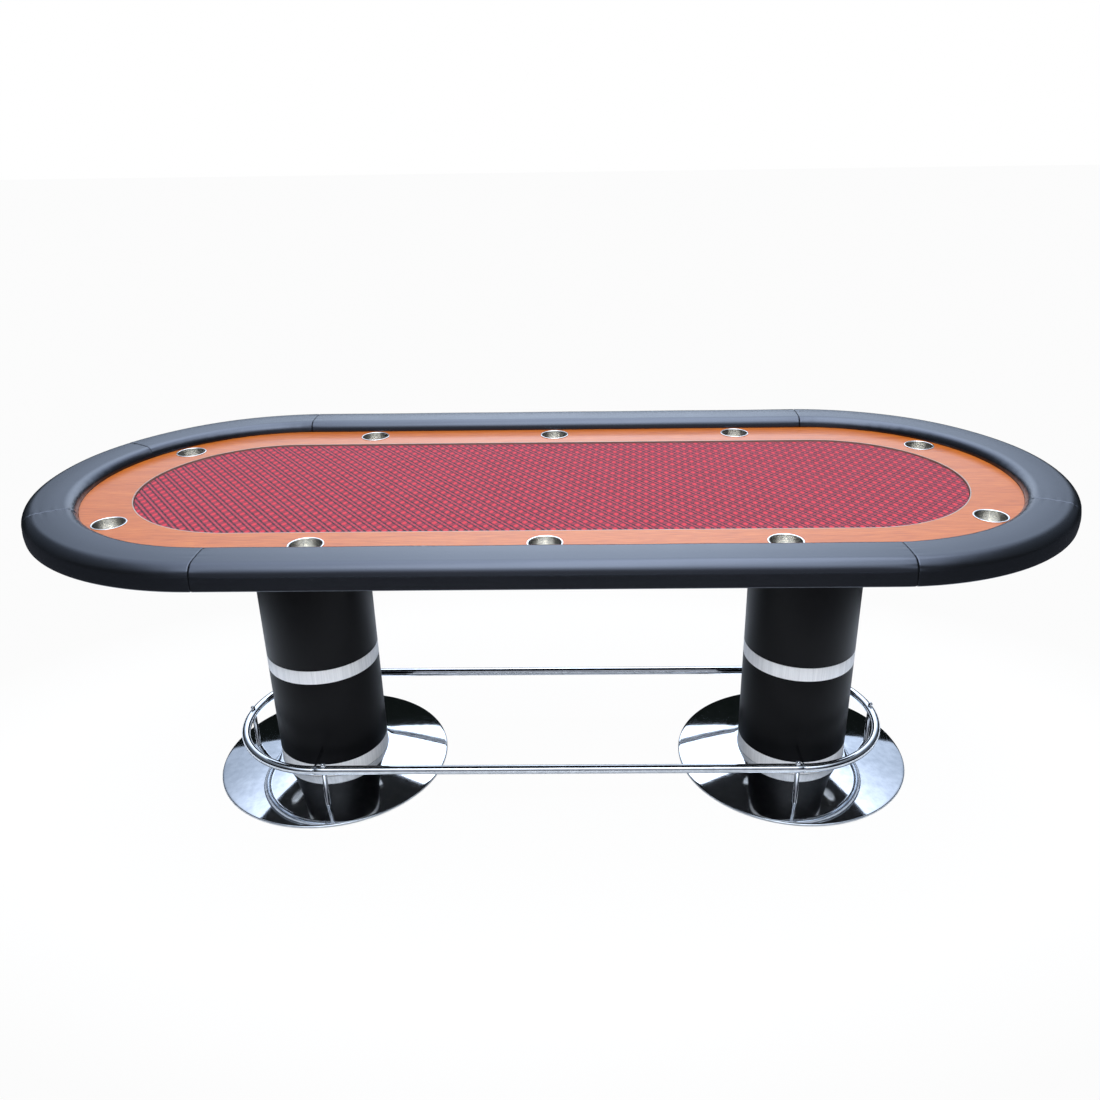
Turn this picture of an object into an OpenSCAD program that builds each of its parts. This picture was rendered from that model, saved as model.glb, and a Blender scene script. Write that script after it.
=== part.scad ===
// Oval poker table on two round pedestals, with a padded rail, a veneered racetrack,
// lift-out cup holders, a lift-out cloth playing surface and a continuous foot rail.
// Every plan outline is a stadium: a straight middle and two half-round ends.
// Origin on the floor under the middle of the table, +X along its length, +Z up.

/* [Table] */
// Overall length over the padded rail
table_length = 2400; // [2300:10:2500]
// Overall width over the padded rail
table_width = 1050; // [1040:2:1060]
// Height from the floor to the crown of the rail
table_height = 812; // [790:2:840]
// Thickness of the deck and of the racetrack board
board_t = 18; // [15:1:19]

/* [Padded rail] */
// Width of the padded rail
rail_width = 113; // [110:1:118]
// Height of the padded rail, including the lip that hides the deck's edge
rail_height = 54; // [52:1:60]
// Radius of both top edges of the padded rail
rail_round = 26; // [24:1:26]
// Thickness of the vinyl cover
cover_t = 1.5; // [1:0.1:2]
// Thickness of the foam at the sides of the plywood core
side_foam_t = 6; // [3:1:10]

/* [Racetrack and cloth] */
// Half width of the well that holds the playing surface
well_r = 299; // [295:0.5:301]
// Thickness of the pale lipping round the well
lipping_t = 2.5; // [2:0.5:4]
// How far the cloth lies below the racetrack
cloth_recess = 3.5; // [2:0.5:6]
// Thickness of the stretched cloth
cloth_t = 1; // [0.8:0.1:1.5]
// Thickness of the foam under the cloth
cloth_foam_t = 4; // [3:1:5]

/* [Cup holders] */
// Outer radius of a cup's rim
cup_rim_r = 37.5; // [36:0.5:43]
// Outer radius of a cup's body
cup_body_r = 34.5; // [33:0.5:38]
// Depth of a cup below the racetrack
cup_depth = 72; // [50:1:90]
// Distance of the cups from the table's long axis, and from the centre of each end
cup_r = 366; // [364:0.5:367]
// Spacing of the three cups along each side
cup_pitch = 489; // [440:1:520]
// Angle of the corner cups round each end
cup_angle = 41.5; // [35:0.5:50]

/* [Pedestals] */
// Distance of each pedestal's axis from the table's middle
pedestal_x = 611; // [580:1:630]
// How far both pedestals stand to the right of the top's middle
base_shift = 15; // [0:1:20]
// Radius of the drum
drum_r = 139; // [130:1:150]
// Radius of the base disc
base_r = 297; // [280:1:310]
// Height of the base disc's rim
base_rim_h = 6; // [5:1:8]
// Height of the base disc where the drum stands
base_h = 35; // [32:1:40]
// Height of both metal bands
band_h = 37; // [30:1:45]
// Height of the middle band's lower edge above the floor
middle_band_z = 311; // [280:1:340]

/* [Foot rail] */
// Outer radius of the foot rail's tube
tube_r = 11; // [10:0.5:13]
// Radius of the bends, and distance of the straight tubes from the long axis
foot_rail_r = 228.5; // [220:0.5:235]
// Height of the tube's centre above the floor
foot_rail_z = 122; // [110:1:140]
// Half the distance between the centres of the foot rail's two bends
bend_x = 598; // [580:1:620]
// How far the middle of the foot rail stands to the right of the top's middle
bend_shift = 11; // [0:1:20]
// Distance of the side posts from the pedestal's axis, towards the middle
side_post_shift = 32; // [28:1:45]
// How far round the bend the end posts stand behind the long axis, in degrees
end_post_angle = 6; // [0:1:10]

/* [Hidden] */

fine = 180;  // facets of the large curves
small = 48;  // facets of the small curves
eps = 0.5;   // how far a cutter runs past a face

half_straight = (table_length - table_width) / 2;
rail_outer_r = table_width / 2;
rail_inner_r = rail_outer_r - rail_width;
rail_bottom = table_height - rail_height;

racetrack_top = table_height - rail_round;
deck_top = racetrack_top - board_t;
deck_bottom = deck_top - board_t;
lip_w = 26;
lip_inner_r = rail_outer_r - lip_w;
deck_r = lip_inner_r - 2;
cover_gap = 0.2; // air under the cover, so that no two curved faces cross
cover_lap = 25;
outer_lap = 10;

core_inner_r = rail_inner_r + cover_t + side_foam_t;
core_outer_r = rail_outer_r - cover_t - side_foam_t;
core_bottom = deck_top + cover_t;
rail_bolt_r = 4;
rail_bolt_line = (core_inner_r + core_outer_r) / 2;
rail_bolt_x = [-500, 0, 500];
rail_bolt_angles = [-60, 0, 60];
rail_bolt_length = 32;
rail_bolt_head_r = 9;
rail_bolt_head_h = 4;

racetrack_r = rail_inner_r - 0.3;
lipping_r = well_r + lipping_t;
racetrack_screw_line = lipping_r + 46;
racetrack_screw_x = [-250, 250];

cloth_top = racetrack_top - cloth_recess;
playing_gap = 1;
playing_r = well_r - playing_gap;
playing_board_top = cloth_top - cloth_t - cloth_foam_t;
cloth_hem = 2;

cup_wall = 1;
cup_corner = 6;
cup_rim_t = 1.5;
cup_hole_gap = 0.5;
// Places of the cups: three along each side, then two at each end
cup_places = concat(
    [for (y = [-1, 1]) for (k = [-1, 0, 1]) [k * cup_pitch, y * cup_r]],
    [for (x = [-1, 1]) for (y = [-1, 1])
        [x * (half_straight + cup_r * cos(cup_angle)), y * cup_r * sin(cup_angle)]]
);

sheet_t = 1.5;
drum_wall = 6;
drum_inner_r = drum_r - drum_wall;
former_r = drum_inner_r - 0.2;
top_plate_t = 4;
top_plate_r = 170;
top_plate_bottom = deck_bottom - top_plate_t;
base_cone_r = drum_r + 2;
floor_ring_t = 2;
base_weight_r = base_r - 17;
base_weight_top = floor_ring_t + 5;
floor_ring_w = 23;
bottom_band_top = base_h + band_h;
middle_band_top = middle_band_z + band_h;
tie_rod_r = 8;
nut_pocket_r = 16;
plate_screw_r = 2.5;
plate_screw_line = 154;
plate_screw_count = 8;

tube_wall = 1.5;
post_r = 6;
post_rod_r = 4;
spigot_in_tube = 9;
spigot_in_bend = 16;
cap_nut_h = 11;
// Places of the six posts: two beside each pedestal and one near the middle of each bend
side_post_places = [for (x = [-1, 1]) for (y = [-1, 1])
    [base_shift + x * (pedestal_x - side_post_shift), y * foot_rail_r]];
end_post_places = [for (x = [-1, 1])
    [bend_shift + x * (bend_x + foot_rail_r * cos(end_post_angle)), foot_rail_r * sin(end_post_angle)]];
post_places = concat(side_post_places, end_post_places);

// ---------------------------------------------------------------- shared shapes

// Flat stadium of half width r
module stadium(r) {
    square([2 * half_straight, 2 * r], center = true);
    for (side = [-1, 1])
        translate([side * half_straight, 0]) circle(r, $fn = fine);
}

// Board with a stadium outline, from height z0 to z1
module stadium_board(r, z0, z1) {
    translate([0, 0, z0]) linear_extrude(z1 - z0) stadium(r);
}

// Ring between two stadiums
module stadium_ring(inner, outer, z0, z1) {
    translate([0, 0, z0]) linear_extrude(z1 - z0) difference() {
        stadium(outer);
        stadium(inner);
    }
}

// A (radius, height) section carried along the straight side from x0 to x1
module along_side(x0, x1, side) {
    mirror([0, side < 0 ? 1 : 0, 0]) translate([x0, 0, 0])
        rotate([90, 0, 90]) linear_extrude(x1 - x0) children();
}

// A (radius, height) section turned round the centre of one end, from angle a0 to a1
module round_end(end, a0, a1) {
    translate([end * half_straight, 0, 0]) rotate([0, 0, a0])
        rotate_extrude(angle = a1 - a0, $fn = fine) children();
}

// Upright cylinder from height z0 to z1 at a place
module post_at(place, r, z0, z1) {
    translate([place[0], place[1], z0]) cylinder(r = r, h = z1 - z0, $fn = small);
}

// Upright tube round the origin
module tube(outer, inner, z0, z1) {
    translate([0, 0, z0]) difference() {
        cylinder(r = outer, h = z1 - z0, $fn = fine);
        translate([0, 0, -eps]) cylinder(r = inner, h = z1 - z0 + 2 * eps, $fn = fine);
    }
}

function on_end(end, line, angle) =
    [end * (half_straight + line * cos(angle)), line * sin(angle)];

// Places spread along the sides and round both ends at one distance from the centre line
function spread(line, xs, angles) = concat(
    [for (y = [-1, 1]) for (x = xs) [x, y * line]],
    [for (end = [-1, 1]) for (a = angles) on_end(end, line, a)]
);

rail_bolt_places = spread(rail_bolt_line, rail_bolt_x, rail_bolt_angles);
racetrack_screw_places = spread(racetrack_screw_line, racetrack_screw_x, [0]);
plate_screw_places = [for (side = [-1, 1]) for (k = [0 : plate_screw_count - 1])
    let (a = (k + 0.5) * 360 / plate_screw_count)
    [base_shift + side * pedestal_x + plate_screw_line * cos(a), plate_screw_line * sin(a)]];

// ---------------------------------------------------------------- deck and racetrack

// Plywood deck that carries everything above it
module deck() {
    color("#2b2622") difference() {
        stadium_board(deck_r, deck_bottom, deck_top);
        for (p = cup_places) post_at(p, cup_body_r + cup_hole_gap, deck_bottom - eps, deck_top + eps);
        for (p = rail_bolt_places) post_at(p, rail_bolt_r + 0.3, deck_bottom - eps, deck_top + eps);
        for (p = racetrack_screw_places)
            post_at(p, plate_screw_r + 0.1, deck_bottom - eps, deck_top + eps);
        for (p = plate_screw_places) post_at(p, plate_screw_r + 0.1, deck_bottom - eps, deck_top - 2);
        for (side = [-1, 1])
            post_at([base_shift + side * pedestal_x, 0], nut_pocket_r, deck_bottom - eps, deck_top - 5);
    }
}

// Veneered ring between the rail and the cloth, bored for the cups
module racetrack() {
    color("#d98b62") difference() {
        stadium_ring(lipping_r, racetrack_r, deck_top, racetrack_top);
        for (p = cup_places)
            post_at(p, cup_body_r + cup_hole_gap, deck_top - eps, racetrack_top + eps);
        for (p = racetrack_screw_places)
            post_at(p, plate_screw_r + 0.1, deck_top - eps, racetrack_top - 5);
    }
}

// Pale solid wood strip glued round the racetrack's inner edge
module racetrack_lipping() {
    color("#f1dddb") stadium_ring(well_r, lipping_r, deck_top, racetrack_top);
}

// Screws up through the deck into the racetrack
module racetrack_screws() {
    color("#8d9094") for (p = racetrack_screw_places) {
        post_at(p, plate_screw_r, deck_bottom, racetrack_top - 6);
        post_at(p, 2 * plate_screw_r, deck_bottom - 2, deck_bottom);
    }
}

// ---------------------------------------------------------------- playing surface

module playing_board() {
    color("#c9a577") stadium_board(playing_r - cloth_t, deck_top, playing_board_top);
}

module playing_foam() {
    color("#e8e4da") stadium_board(playing_r - cloth_t, playing_board_top, cloth_top - cloth_t);
}

// Cloth stretched over the foam and down the board's edge
module playing_cloth() {
    color("#b04a55") difference() {
        stadium_board(playing_r, deck_top + cloth_hem, cloth_top);
        stadium_board(playing_r - cloth_t, deck_top, cloth_top - cloth_t);
    }
}

// ---------------------------------------------------------------- cup holders

// Half section of a cup's outside, or of its inside when inset by the wall
module cup_half(inset) {
    bottom = racetrack_top - cup_depth + inset;
    r = cup_body_r - inset;
    corner = cup_corner - inset;
    height = racetrack_top + cup_rim_t - bottom;
    translate([0, bottom + corner]) square([r, height - corner]);
    translate([0, bottom]) square([r - corner, height]);
    translate([r - corner, bottom + corner]) circle(corner, $fn = small);
}

// Pressed steel cup that hangs in its hole by a flat rim with a rounded edge
module cup(place) {
    color("#c9ccd0") translate([place[0], place[1], 0]) rotate_extrude($fn = fine)
        difference() {
            union() {
                cup_half(0);
                translate([0, racetrack_top]) square([cup_rim_r - cup_rim_t / 2, cup_rim_t]);
                translate([cup_rim_r - cup_rim_t / 2, racetrack_top + cup_rim_t / 2])
                    circle(cup_rim_t / 2, $fn = small);
            }
            cup_half(cup_wall);
            translate([0, racetrack_top]) square([cup_body_r - cup_wall, cup_rim_t + eps]);
            translate([-cup_rim_r, 0]) square([cup_rim_r, table_height]);
        }
}

// ---------------------------------------------------------------- padded rail

// Section of the rail, taken in on every side by inset; the notch sits on the deck
module rail_section(inset) {
    square_top = table_height - rail_round;
    difference() {
        union() {
            translate([rail_inner_r + inset, rail_bottom + inset])
                square([rail_width - 2 * inset, square_top - rail_bottom - inset]);
            translate([rail_inner_r + rail_round, rail_bottom + inset])
                square([rail_width - 2 * rail_round, rail_height - 2 * inset]);
            for (r = [rail_inner_r + rail_round, rail_outer_r - rail_round])
                translate([r, square_top]) circle(rail_round - inset, $fn = fine);
        }
        translate([rail_inner_r - eps, rail_bottom - eps])
            square([lip_inner_r + inset - rail_inner_r + eps, deck_top + inset - rail_bottom + eps]);
    }
}

// Section of the plywood core: the ring and the lip under its outer edge
module core_section() {
    translate([core_inner_r, core_bottom]) square([core_outer_r - core_inner_r, board_t]);
    translate([lip_inner_r + cover_t + cover_gap, rail_bottom + cover_t + cover_gap])
        square([core_outer_r - lip_inner_r - cover_t - cover_gap,
                core_bottom - rail_bottom - cover_t - cover_gap + eps]);
}

module foam_section() {
    difference() {
        rail_section(cover_t + cover_gap);
        core_section();
    }
}

// Vinyl round the foam, open underneath between its two stapled laps
module cover_section() {
    difference() {
        rail_section(0);
        rail_section(cover_t);
        translate([rail_inner_r + cover_lap, deck_top - eps])
            square([lip_inner_r - outer_lap - rail_inner_r - cover_lap, cover_t + 2 * eps]);
    }
}

module rail_core() {
    color("#b98f5f") difference() {
        union() {
            stadium_ring(core_inner_r, core_outer_r, core_bottom, core_bottom + board_t);
            stadium_ring(lip_inner_r + cover_t + cover_gap, core_outer_r, rail_bottom + cover_t + cover_gap,
                         core_bottom);
        }
        for (p = rail_bolt_places)
            post_at(p, rail_bolt_r + 0.1, core_bottom - eps, deck_bottom + rail_bolt_length + 1);
    }
}

module rail_foam() {
    color("#d9d4c4") {
        for (side = [-1, 1]) along_side(-half_straight, half_straight, side) foam_section();
        round_end(1, -90, 90) foam_section();
        round_end(-1, 90, 270) foam_section();
    }
}

// Button-headed bolts up through the deck into the core
module rail_bolts() {
    color("#8d9094") for (p = rail_bolt_places) {
        post_at(p, rail_bolt_r, deck_bottom, deck_bottom + rail_bolt_length);
        post_at(p, rail_bolt_head_r, deck_bottom - rail_bolt_head_h, deck_bottom);
    }
}

module rail_cover_side(side) {
    color("#22262d") along_side(-half_straight, half_straight, side) cover_section();
}

module rail_cover_end(end, a0, a1) {
    color("#22262d") round_end(end, a0, a1) cover_section();
}

// ---------------------------------------------------------------- pedestals

// Puts a piece on one pedestal's axis; side is -1 on the left and 1 on the right
module on_pedestal(side) {
    translate([base_shift + side * pedestal_x, 0, 0]) children();
}

// Round steel plate screwed under the deck
module top_plate(side) {
    color("#1c1d20") difference() {
        on_pedestal(side) tube(top_plate_r, tie_rod_r + 0.5, top_plate_bottom, deck_bottom);
        for (p = plate_screw_places)
            post_at(p, plate_screw_r + 0.2, top_plate_bottom - eps, deck_bottom + eps);
    }
}

module drum(side, z0, z1) {
    color("#17181c") on_pedestal(side) tube(drum_r, drum_inner_r, z0, z1);
}

module band(side, z0) {
    color("#c8cbcf") on_pedestal(side) tube(drum_r, drum_inner_r, z0, z0 + band_h);
}

// Plywood discs that line up the drum and its bands; each pair of edges shares a stack of three
module drum_formers(side) {
    bore = tie_rod_r + 0.5;
    stack = 3 * board_t;
    middle = middle_band_z + band_h / 2;
    color("#c9a577") on_pedestal(side) {
        tube(former_r, bore, base_h, base_h + stack);
        tube(former_r, bore, middle - stack / 2, middle + stack / 2);
        tube(former_r, bore, top_plate_bottom - board_t, top_plate_bottom);
    }
}

// Plywood block between the base weight and the drum
module base_riser(side) {
    color("#c9a577") on_pedestal(side)
        tube(drum_r - 3, tie_rod_r + 0.5, base_weight_top, base_h - sheet_t);
}

// Polished spun steel cover: an upright rim, a shallow cone and a flat seat for the drum
module base_disc(side) {
    slope = (base_h - base_rim_h) / (base_r - base_cone_r);
    color("#dfe2e6") difference() {
        on_pedestal(side) rotate_extrude($fn = fine) polygon([
            [base_r, 1],
            [base_r, base_rim_h],
            [base_cone_r, base_h],
            [tie_rod_r + 1, base_h],
            [tie_rod_r + 1, base_h - sheet_t],
            [base_cone_r, base_h - sheet_t],
            [base_r - sheet_t, base_rim_h - sheet_t + slope * sheet_t],
            [base_r - sheet_t, 1]
        ]);
        for (p = post_places) post_at(p, post_rod_r + 0.2, 0, base_h + eps);
    }
}

// Steel plate that keeps the table from tipping
module base_weight(side) {
    color("#3a3c40") difference() {
        on_pedestal(side) tube(base_weight_r, tie_rod_r, floor_ring_t, base_weight_top);
        for (p = post_places) post_at(p, post_rod_r + 0.1, 0, base_weight_top + eps);
    }
}

module floor_ring(side) {
    color("#151515") on_pedestal(side)
        tube(base_weight_r, base_weight_r - floor_ring_w, 0, floor_ring_t);
}

// Threaded rod that clamps the base, drum and top plate together
module tie_rod(side) {
    color("#9a9da1") on_pedestal(side)
        post_at([0, 0], tie_rod_r - 0.1, floor_ring_t, deck_top - 7);
}

module tie_rod_nuts() {
    color("#9a9da1") for (side = [-1, 1]) on_pedestal(side)
        translate([0, 0, deck_bottom]) difference() {
            cylinder(r = 13.5, h = 9, $fn = 6);
            translate([0, 0, -eps]) cylinder(r = tie_rod_r, h = 9 + 2 * eps, $fn = small);
        }
}

module top_plate_screws() {
    color("#8d9094") for (p = plate_screw_places) {
        post_at(p, plate_screw_r, top_plate_bottom, deck_top - 4);
        post_at(p, 2 * plate_screw_r, top_plate_bottom - 2, top_plate_bottom);
    }
}

// ---------------------------------------------------------------- foot rail

// Solid bar along a straight tube, from x0 to x1 as measured from the middle of the foot rail
module side_bar(side, r, x0, x1) {
    translate([bend_shift + x0, side * foot_rail_r, foot_rail_z]) rotate([0, 90, 0])
        cylinder(r = r, h = x1 - x0, $fn = small);
}

// Holes where the posts' rods pass through a tube
module rod_holes(places) {
    for (p = places) post_at(p, post_rod_r + 0.2, foot_rail_z - 2 * tube_r, foot_rail_z + 2 * tube_r);
}

module foot_rail_side(side) {
    color("#d4d6d9") difference() {
        side_bar(side, tube_r, -bend_x, bend_x);
        side_bar(side, tube_r - tube_wall, -bend_x - eps, bend_x + eps);
        rod_holes(side_post_places);
    }
}

module foot_rail_bend(side) {
    color("#d4d6d9") difference() {
        translate([bend_shift + side * bend_x, 0, 0]) rotate([0, 0, side > 0 ? -90 : 90])
            rotate_extrude(angle = 180, $fn = fine)
                translate([foot_rail_r, foot_rail_z]) difference() {
                    circle(tube_r, $fn = small);
                    circle(tube_r - tube_wall, $fn = small);
                }
        rod_holes(end_post_places);
    }
}

// Steel plugs inside the four joints between the straight tubes and the bends
module foot_rail_spigots() {
    color("#8d9094") for (x = [-1, 1]) for (y = [-1, 1]) {
        inner_end = x * (bend_x - spigot_in_tube);
        outer_end = x * (bend_x + spigot_in_bend);
        side_bar(y, tube_r - tube_wall - 1, min(inner_end, outer_end), max(inner_end, outer_end));
    }
}

// Height of the base disc under a post
function seat_z(p) =
    let (reach = norm([p[0] - base_shift - sign(p[0]) * pedestal_x, p[1]]))
    base_rim_h + (base_r - reach) * (base_h - base_rim_h) / (base_r - base_cone_r);

// Posts between the base discs and the tube, scribed to both
module foot_rail_posts() {
    color("#d4d6d9") for (p = post_places) difference() {
        post_at(p, post_r, seat_z(p) + 2, foot_rail_z - tube_r);
        post_at(p, post_rod_r + 0.2, 0, foot_rail_z);
    }
}

// Threaded rods from the base weights up through the posts and the tube
module foot_rail_rods() {
    color("#9a9da1") for (p = post_places)
        post_at(p, post_rod_r, floor_ring_t + 0.5, foot_rail_z + tube_r + cap_nut_h - 5);
}

// Domed nuts on top of the tube
module foot_rail_cap_nuts() {
    color("#d4d6d9") for (p = post_places)
        translate([p[0], p[1], foot_rail_z + tube_r]) difference() {
            union() {
                cylinder(r = post_r, h = cap_nut_h - post_r, $fn = small);
                translate([0, 0, cap_nut_h - post_r]) sphere(r = post_r, $fn = small);
            }
            translate([0, 0, -post_r]) cylinder(r = 2 * post_r, h = post_r, $fn = small);
            cylinder(r = post_rod_r + 0.1, h = cap_nut_h - 4, $fn = small);
        }
}

// ---------------------------------------------------------------- nodes

deck();
racetrack();
racetrack_lipping();
racetrack_screws();
playing_board();
playing_foam();
playing_cloth();
cup(cup_places[0]);  // cup_1
cup(cup_places[1]);  // cup_2
cup(cup_places[2]);  // cup_3
cup(cup_places[3]);  // cup_4
cup(cup_places[4]);  // cup_5
cup(cup_places[5]);  // cup_6
cup(cup_places[6]);  // cup_7
cup(cup_places[7]);  // cup_8
cup(cup_places[8]);  // cup_9
cup(cup_places[9]);  // cup_10
rail_core();
rail_foam();
rail_bolts();
rail_cover_side(-1);  // rail_cover_front
rail_cover_side(1);  // rail_cover_back
rail_cover_end(1, -90, -28);  // rail_cover_right_front
rail_cover_end(1, -28, 90);  // rail_cover_right_back
rail_cover_end(-1, 90, 150);  // rail_cover_left_back
rail_cover_end(-1, 150, 210);  // rail_cover_left_end
rail_cover_end(-1, 210, 270);  // rail_cover_left_front
top_plate(-1);  // left_top_plate
drum(-1, middle_band_top, top_plate_bottom);  // left_upper_drum
band(-1, middle_band_z);  // left_middle_band
drum(-1, bottom_band_top, middle_band_z);  // left_lower_drum
band(-1, base_h);  // left_bottom_band
drum_formers(-1);  // left_drum_formers
base_riser(-1);  // left_base_riser
base_disc(-1);  // left_base_disc
base_weight(-1);  // left_base_weight
floor_ring(-1);  // left_floor_ring
tie_rod(-1);  // left_tie_rod
top_plate(1);  // right_top_plate
drum(1, middle_band_top, top_plate_bottom);  // right_upper_drum
band(1, middle_band_z);  // right_middle_band
drum(1, bottom_band_top, middle_band_z);  // right_lower_drum
band(1, base_h);  // right_bottom_band
drum_formers(1);  // right_drum_formers
base_riser(1);  // right_base_riser
base_disc(1);  // right_base_disc
base_weight(1);  // right_base_weight
floor_ring(1);  // right_floor_ring
tie_rod(1);  // right_tie_rod
tie_rod_nuts();
top_plate_screws();
foot_rail_side(-1);  // foot_rail_front
foot_rail_side(1);  // foot_rail_back
foot_rail_bend(-1);  // foot_rail_left_bend
foot_rail_bend(1);  // foot_rail_right_bend
foot_rail_spigots();
foot_rail_posts();
foot_rail_rods();
foot_rail_cap_nuts();
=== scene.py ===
"""Oval ten-seat poker table: padded rail, veneered racetrack, cup holders, playing cloth,
two drum pedestals on polished discs and a chrome foot rail. Metres, +X along the table, +Z up."""
import math

import bmesh
import bpy
import numpy as np
from mathutils import Matrix, Vector


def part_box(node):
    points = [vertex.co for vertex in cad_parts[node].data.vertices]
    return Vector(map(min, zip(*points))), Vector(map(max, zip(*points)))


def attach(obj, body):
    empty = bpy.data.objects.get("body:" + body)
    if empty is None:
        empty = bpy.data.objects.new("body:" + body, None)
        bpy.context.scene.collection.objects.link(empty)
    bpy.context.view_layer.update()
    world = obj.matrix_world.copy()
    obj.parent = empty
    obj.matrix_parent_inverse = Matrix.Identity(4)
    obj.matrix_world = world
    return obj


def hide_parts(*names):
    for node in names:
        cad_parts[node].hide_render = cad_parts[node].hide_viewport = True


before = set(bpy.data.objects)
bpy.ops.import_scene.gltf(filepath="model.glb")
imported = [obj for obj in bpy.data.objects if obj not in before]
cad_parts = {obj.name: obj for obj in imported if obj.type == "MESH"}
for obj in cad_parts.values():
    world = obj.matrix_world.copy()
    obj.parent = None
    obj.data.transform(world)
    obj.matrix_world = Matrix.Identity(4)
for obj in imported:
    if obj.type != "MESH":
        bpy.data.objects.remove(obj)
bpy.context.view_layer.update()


# ---------------------------------------------------------------- camera
# A full-frame camera at standing eye height in front of the table, turned a degree to the left
# and rolled a degree, with the small lens shift that frames the table as a catalogue picture.
CAMERA_PLACE = (0.0834, -2.1656, 1.5787)
YAW, PITCH, ROLL = -0.0163, 0.4170, -0.0148
SENSOR_WIDTH = 36.0
FOCAL_LENGTH = 31.665

forward = Vector((math.sin(YAW) * math.cos(PITCH), math.cos(YAW) * math.cos(PITCH), -math.sin(PITCH)))
level = Vector((math.cos(YAW), -math.sin(YAW), 0))
above = level.cross(forward)
right = math.cos(ROLL) * level + math.sin(ROLL) * above
up = math.cos(ROLL) * above - math.sin(ROLL) * level

camera_data = bpy.data.cameras.new("camera")
camera_data.sensor_width = SENSOR_WIDTH
camera_data.lens = FOCAL_LENGTH
camera_data.shift_x = -0.0196
camera_data.shift_y = -0.0046
camera = bpy.data.objects.new("camera", camera_data)
bpy.context.scene.collection.objects.link(camera)
camera.matrix_world = Matrix.Translation(CAMERA_PLACE) @ Matrix((right, up, -forward)).transposed().to_4x4()
bpy.context.scene.camera = camera


# ---------------------------------------------------------------- deck and hidden woodwork
# The deck, the rail's core and the board under the cloth are birch plywood; the deck's edges and
# underside are stained black so that they disappear. The screws and rods are zinc-plated steel.


def linear(code):
    """Linear RGBA of an sRGB hex colour such as "a0b1c2"."""
    parts = [int(code[i:i + 2], 16) / 255 for i in (0, 2, 4)]
    return (*[c / 12.92 if c <= 0.04045 else ((c + 0.055) / 1.055) ** 2.4 for c in parts], 1.0)


def wire(tree, node, sockets):
    """Gives a node's input sockets, by name or number, a value or a link. A node stands for its
    first output."""
    for socket, value in sockets.items():
        if isinstance(value, bpy.types.Node):
            value = value.outputs[0]
        if isinstance(value, bpy.types.NodeSocket):
            tree.links.new(value, node.inputs[socket])
        else:
            node.inputs[socket].default_value = value


def add(tree, kind, *inputs, stops=(), **settings):
    """Adds one shader node. inputs are values and links for its sockets in order, or a dict of them;
    stops are a colour ramp's (position, hex colour) pairs; settings are the node's own properties."""
    node = tree.nodes.new("ShaderNode" + kind)
    for name, value in settings.items():
        setattr(node, name, value)
    for i, value in enumerate(inputs):
        wire(tree, node, value if isinstance(value, dict) else {i: value})
    for _ in stops[2:]:
        node.color_ramp.elements.new(0.5)
    for element, (position, code) in zip(node.color_ramp.elements if stops else (), stops):
        element.position = position
        element.color = linear(code)
    return node


def new_material(name, **surface):
    """A material with one Principled shader, whose sockets take the values in surface."""
    material = bpy.data.materials.new(name)
    material.use_nodes = True
    tree = material.node_tree
    shader = tree.nodes["Principled BSDF"]
    wire(tree, shader, {socket.replace("_", " "): value for socket, value in surface.items()})
    return material, tree, shader


def dress(material, *names):
    """Gives CAD nodes their material."""
    for name in names:
        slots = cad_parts[name].data.materials
        if not len(slots):
            slots.append(material)
        for i in range(len(slots)):
            slots[i] = material


# Plywood under a black water stain: nearly black and dull, with a trace of the long grain
deck_stain, tree, shader = new_material("black_stained_plywood", Roughness=0.62)
place = add(tree, "TexCoord").outputs["Object"]
grain = add(tree, "Mapping", {"Vector": place, "Scale": (3.0, 90.0, 90.0)})
streaks = add(tree, "TexNoise", {"Vector": grain, "Scale": 1.0, "Detail": 5.0})
wire(tree, shader, {
    "Base Color": add(tree, "ValToRGB", streaks, stops=[(0.3, "0b0a0a"), (0.7, "17140f")]),
    "Normal": add(tree, "Bump", {"Height": streaks, "Distance": 0.0002}),
})
dress(deck_stain, "deck")

# Birch plywood, sanded and bare: pale yellow-brown, with fine plies
raw_plywood, tree, shader = new_material("birch_plywood", Roughness=0.7)
place = add(tree, "TexCoord").outputs["Object"]
grain = add(tree, "Mapping", {"Vector": place, "Scale": (4.0, 70.0, 700.0)})
plies = add(tree, "TexNoise", {"Vector": grain, "Scale": 1.0, "Detail": 4.0})
wire(tree, shader, {
    "Base Color": add(tree, "ValToRGB", plies, stops=[(0.3, "a8804f"), (0.7, "d3b083")]),
    "Normal": add(tree, "Bump", {"Height": plies, "Distance": 0.0002}),
})
dress(raw_plywood, "playing_board", "rail_core")

# Zinc-plated steel: grey, half dull and faintly mottled
zinc, tree, shader = new_material("zinc_plated_steel", Metallic=1.0, Roughness=0.35)
place = add(tree, "TexCoord").outputs["Object"]
mottle = add(tree, "TexNoise", {"Vector": place, "Scale": 180.0, "Detail": 3.0})
wire(tree, shader, {"Base Color": add(tree, "ValToRGB", mottle, stops=[(0.3, "8f9499"), (0.7, "b9bdc2")])})
dress(zinc, "racetrack_screws", "rail_bolts", "top_plate_screws", "tie_rod_nuts", "left_tie_rod",
      "right_tie_rod", "foot_rail_rods", "foot_rail_spigots")

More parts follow.
